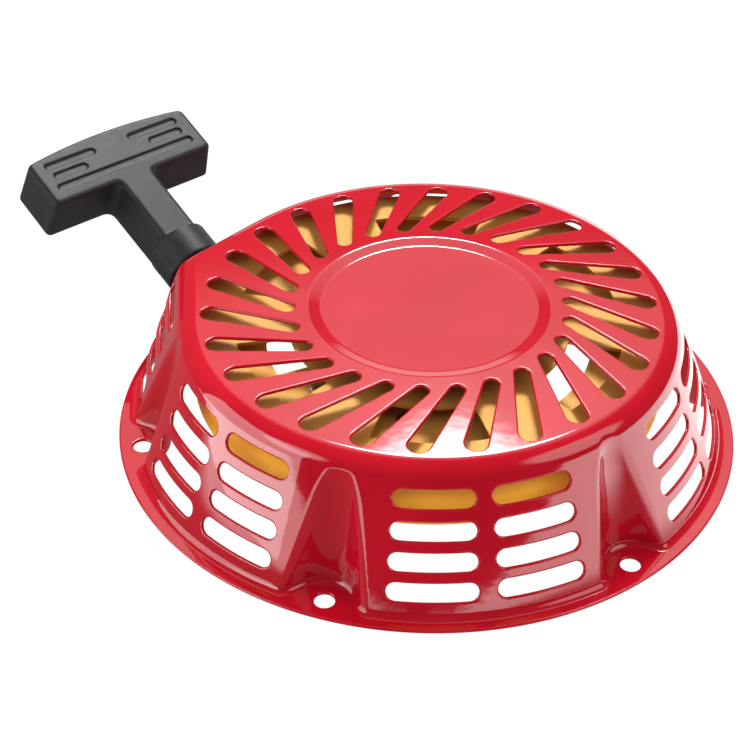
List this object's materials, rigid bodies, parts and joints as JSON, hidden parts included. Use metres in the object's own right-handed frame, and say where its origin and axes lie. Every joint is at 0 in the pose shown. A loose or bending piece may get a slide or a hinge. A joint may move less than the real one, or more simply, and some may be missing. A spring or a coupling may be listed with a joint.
{
  "type": "recoil starter",
  "caption": "Round pull-cord starter in a vented red pressed-steel cover, with a rope reel, return spring, pawls and a black T grip.",
  "frame": {"origin": "centre of the bolt circle on the flange's mounting plane", "axes": "+Z away from the engine along the crankshaft axis; bolt holes at 30, 90, 150 ... degrees; the rope leaves on the -X side"},
  "size_m": [0.2877, 0.225, 0.0634],
  "materials": {
    "red_paint": "high-gloss enamel",
    "yellow_zinc": "yellow passivated zinc plate",
    "steel": "turned steel, oiled",
    "hard_steel": "hardened, dark",
    "spring_steel": "blued spring steel",
    "bright_zinc": "bright zinc plate",
    "black_plastic": "moulded nylon",
    "rope": "braided nylon",
    "black_rubber": "moulded rubber, satin"
  },
  "bodies": {
    "cover": {"cover_top": "red_paint", "cover_wall": "red_paint", "case_roof": "yellow_zinc", "case_wall": "yellow_zinc", "center_post": "steel", "rope_guide": "black_plastic", "center_screw": "bright_zinc", "retaining_washer": "bright_zinc", "friction_spring": "spring_steel", "recoil_spring": "spring_steel", "rope_lead": "rope"},
    "reel": {"reel_upper_plate": "yellow_zinc", "reel_web": "yellow_zinc", "reel_drum": "yellow_zinc", "reel_hub": "steel", "reel_rivets": "bright_zinc", "rope_coil": "rope", "reel_knot": "rope", "pawl_pins": "steel", "pawl_spring_a": "spring_steel", "pawl_spring_b": "spring_steel"},
    "guide": {"ratchet_guide": "bright_zinc"},
    "pawl_a": {"pawl_a": "hard_steel"},
    "pawl_b": {"pawl_b": "hard_steel"},
    "rope_end": {"grip_knot": "rope", "grip_washer": "bright_zinc"},
    "grip": {"grip": "black_rubber"}
  },
  "joints": [
    {"name": "handle_pull", "type": "slide", "parent": "cover", "child": "rope_end", "axis": [-0.805, 0.4837, 0.3437], "range_m": [0, 0.9], "stiffness_N_per_m": 15, "springref_m": -1, "deforming": ["rope_lead"]},
    {"name": "grip_swivel", "type": "hinge", "parent": "rope_end", "child": "grip", "pos_m": [-0.09678, 0.0175, 0.0292], "axis": [-0.805, 0.4837, 0.3437], "range_deg": [-90, 90]},
    {"name": "reel_spin", "type": "hinge", "parent": "cover", "child": "reel", "pos_m": [0, 0, 0.031], "axis": [0, 0, 1], "range_deg": [-720, 0], "deforming": ["recoil_spring"]},
    {"name": "guide_turn", "type": "hinge", "parent": "reel", "child": "guide", "pos_m": [0, 0, 0.0265], "axis": [0, 0, 1], "range_deg": [0, 35], "stiffness_Nm_per_rad": 0.02, "deforming": ["pawl_spring_a", "pawl_spring_b"]},
    {"name": "pawl_a_swing", "type": "hinge", "parent": "reel", "child": "pawl_a", "pos_m": [0.025, 0, 0.03], "axis": [0, 0, 1], "range_deg": [0, 32]},
    {"name": "pawl_b_swing", "type": "hinge", "parent": "reel", "child": "pawl_b", "pos_m": [-0.025, 0, 0.03], "axis": [0, 0, 1], "range_deg": [0, 32]}
  ],
  "couplings": [
    {"joint": "reel_spin", "follows": "handle_pull", "rad_per_m": -13.587},
    {"joint": "pawl_a_swing", "follows": "guide_turn", "ratio": 0.91429},
    {"joint": "pawl_b_swing", "follows": "guide_turn", "ratio": 0.91429}
  ]
}
